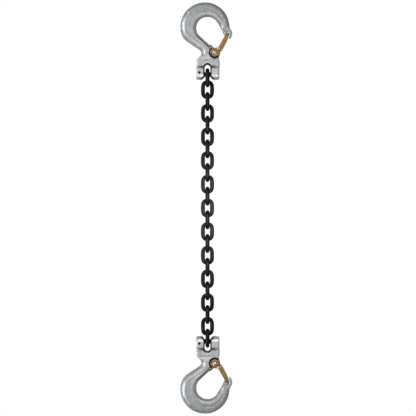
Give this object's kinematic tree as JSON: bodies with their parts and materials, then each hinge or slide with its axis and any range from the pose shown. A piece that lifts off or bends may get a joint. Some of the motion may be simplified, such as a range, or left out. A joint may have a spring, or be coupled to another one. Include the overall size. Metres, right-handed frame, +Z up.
{
  "type": "hook chain leg",
  "caption": "Length of short-link alloy chain with a forged clevis sling hook and spring latch on each end, for lashing, extending or lifting.",
  "frame": {"origin": "the point of the upper hook's bowl that bears on what it hangs from, on the mid-plane of the forging", "axes": "+Z up along the hanging chain, +X the way both hook tips and latches face, -Y the front"},
  "size_m": [0.0928, 0.0234, 0.7305],
  "materials": {
    "forged_silver": "satin silver-grey coat over shot-blasted forging",
    "black_chain": "satin black with rubbed seats",
    "black_pin": "black oxide, turned",
    "yellow_zinc": "iridescent yellow chromate on zinc-plated sheet steel",
    "bright_steel": "bright zinc plate, formed head",
    "spring_steel": "drawn wire, lightly oiled"
  },
  "bodies": {
    "upper_hook": {"upper_hook_body": "forged_silver", "upper_load_pin": "black_pin", "upper_roll_pin": "black_pin", "upper_latch_rivet": "bright_steel"},
    "upper_latch": {"upper_latch": "yellow_zinc", "upper_latch_spring": "spring_steel"},
    "link_01": {"chain_link_01": "black_chain"},
    "link_02": {"chain_link_02": "black_chain"},
    "link_03": {"chain_link_03": "black_chain"},
    "link_04": {"chain_link_04": "black_chain"},
    "link_05": {"chain_link_05": "black_chain"},
    "link_06": {"chain_link_06": "black_chain"},
    "link_07": {"chain_link_07": "black_chain"},
    "link_08": {"chain_link_08": "black_chain"},
    "link_09": {"chain_link_09": "black_chain"},
    "link_10": {"chain_link_10": "black_chain"},
    "link_11": {"chain_link_11": "black_chain"},
    "link_12": {"chain_link_12": "black_chain"},
    "link_13": {"chain_link_13": "black_chain"},
    "link_14": {"chain_link_14": "black_chain"},
    "link_15": {"chain_link_15": "black_chain"},
    "link_16": {"chain_link_16": "black_chain"},
    "link_17": {"chain_link_17": "black_chain"},
    "link_18": {"chain_link_18": "black_chain"},
    "link_19": {"chain_link_19": "black_chain"},
    "link_20": {"chain_link_20": "black_chain"},
    "link_21": {"chain_link_21": "black_chain"},
    "link_22": {"chain_link_22": "black_chain"},
    "link_23": {"chain_link_23": "black_chain"},
    "lower_hook": {"lower_hook_body": "forged_silver", "lower_load_pin": "black_pin", "lower_roll_pin": "black_pin", "lower_latch_rivet": "bright_steel"},
    "lower_latch": {"lower_latch": "yellow_zinc", "lower_latch_spring": "spring_steel"}
  },
  "joints": [
    {"name": "link_01_swing", "type": "hinge", "parent": "upper_hook", "child": "link_01", "pos_m": [0, 0, -0.10228], "axis": [1, 0, 0], "range_deg": [-80, 80]},
    {"name": "link_02_swing", "type": "hinge", "parent": "link_01", "child": "link_02", "pos_m": [0, 0, -0.12193], "axis": [0, 1, 0], "range_deg": [-75, 75]},
    {"name": "link_03_swing", "type": "hinge", "parent": "link_02", "child": "link_03", "pos_m": [0, 0, -0.14293], "axis": [-1, 0, 0], "range_deg": [-80, 80]},
    {"name": "link_04_swing", "type": "hinge", "parent": "link_03", "child": "link_04", "pos_m": [0, 0, -0.16393], "axis": [0, -1, 0], "range_deg": [-80, 80]},
    {"name": "link_05_swing", "type": "hinge", "parent": "link_04", "child": "link_05", "pos_m": [0, 0, -0.18493], "axis": [1, 0, 0], "range_deg": [-80, 80]},
    {"name": "link_06_swing", "type": "hinge", "parent": "link_05", "child": "link_06", "pos_m": [0, 0, -0.20593], "axis": [0, 1, 0], "range_deg": [-80, 80]},
    {"name": "link_07_swing", "type": "hinge", "parent": "link_06", "child": "link_07", "pos_m": [0, 0, -0.22693], "axis": [-1, 0, 0], "range_deg": [-80, 80]},
    {"name": "link_08_swing", "type": "hinge", "parent": "link_07", "child": "link_08", "pos_m": [0, 0, -0.24793], "axis": [0, -1, 0], "range_deg": [-80, 80]},
    {"name": "link_09_swing", "type": "hinge", "parent": "link_08", "child": "link_09", "pos_m": [0, 0, -0.26893], "axis": [1, 0, 0], "range_deg": [-80, 80]},
    {"name": "link_10_swing", "type": "hinge", "parent": "link_09", "child": "link_10", "pos_m": [0, 0, -0.28993], "axis": [0, 1, 0], "range_deg": [-80, 80]},
    {"name": "link_11_swing", "type": "hinge", "parent": "link_10", "child": "link_11", "pos_m": [0, 0, -0.31093], "axis": [-1, 0, 0], "range_deg": [-80, 80]},
    {"name": "link_12_swing", "type": "hinge", "parent": "link_11", "child": "link_12", "pos_m": [0, 0, -0.33193], "axis": [0, -1, 0], "range_deg": [-80, 80]},
    {"name": "link_13_swing", "type": "hinge", "parent": "link_12", "child": "link_13", "pos_m": [0, 0, -0.35293], "axis": [1, 0, 0], "range_deg": [-80, 80]},
    {"name": "link_14_swing", "type": "hinge", "parent": "link_13", "child": "link_14", "pos_m": [0, 0, -0.37393], "axis": [0, 1, 0], "range_deg": [-80, 80]},
    {"name": "link_15_swing", "type": "hinge", "parent": "link_14", "child": "link_15", "pos_m": [0, 0, -0.39493], "axis": [-1, 0, 0], "range_deg": [-80, 80]},
    {"name": "link_16_swing", "type": "hinge", "parent": "link_15", "child": "link_16", "pos_m": [0, 0, -0.41593], "axis": [0, -1, 0], "range_deg": [-80, 80]},
    {"name": "link_17_swing", "type": "hinge", "parent": "link_16", "child": "link_17", "pos_m": [0, 0, -0.43693], "axis": [1, 0, 0], "range_deg": [-80, 80]},
    {"name": "link_18_swing", "type": "hinge", "parent": "link_17", "child": "link_18", "pos_m": [0, 0, -0.45793], "axis": [0, 1, 0], "range_deg": [-80, 80]},
    {"name": "link_19_swing", "type": "hinge", "parent": "link_18", "child": "link_19", "pos_m": [0, 0, -0.47893], "axis": [-1, 0, 0], "range_deg": [-80, 80]},
    {"name": "link_20_swing", "type": "hinge", "parent": "link_19", "child": "link_20", "pos_m": [0, 0, -0.49993], "axis": [0, -1, 0], "range_deg": [-80, 80]},
    {"name": "link_21_swing", "type": "hinge", "parent": "link_20", "child": "link_21", "pos_m": [0, 0, -0.52093], "axis": [1, 0, 0], "range_deg": [-80, 80]},
    {"name": "link_22_swing", "type": "hinge", "parent": "link_21", "child": "link_22", "pos_m": [0, 0, -0.54193], "axis": [0, 1, 0], "range_deg": [-80, 80]},
    {"name": "link_23_swing", "type": "hinge", "parent": "link_22", "child": "link_23", "pos_m": [0, 0, -0.56293], "axis": [-1, 0, 0], "range_deg": [-80, 80]},
    {"name": "lower_hook_swing", "type": "hinge", "parent": "link_23", "child": "lower_hook", "pos_m": [0, 0, -0.57598], "axis": [-1, 0, 0], "range_deg": [-80, 80]},
    {"name": "upper_latch_swing", "type": "hinge", "parent": "upper_hook", "child": "upper_latch", "pos_m": [0.013, 0, -0.06328], "axis": [0, -1, 0], "range_deg": [0, 50], "stiffness_Nm_per_rad": 0.06, "springref_deg": -68.75, "deforming": ["upper_latch_spring"]},
    {"name": "lower_latch_swing", "type": "hinge", "parent": "lower_hook", "child": "lower_latch", "pos_m": [0.013, 0, -0.61498], "axis": [0, 1, 0], "range_deg": [0, 50], "stiffness_Nm_per_rad": 0.06, "springref_deg": -68.75, "deforming": ["lower_latch_spring"]}
  ]
}
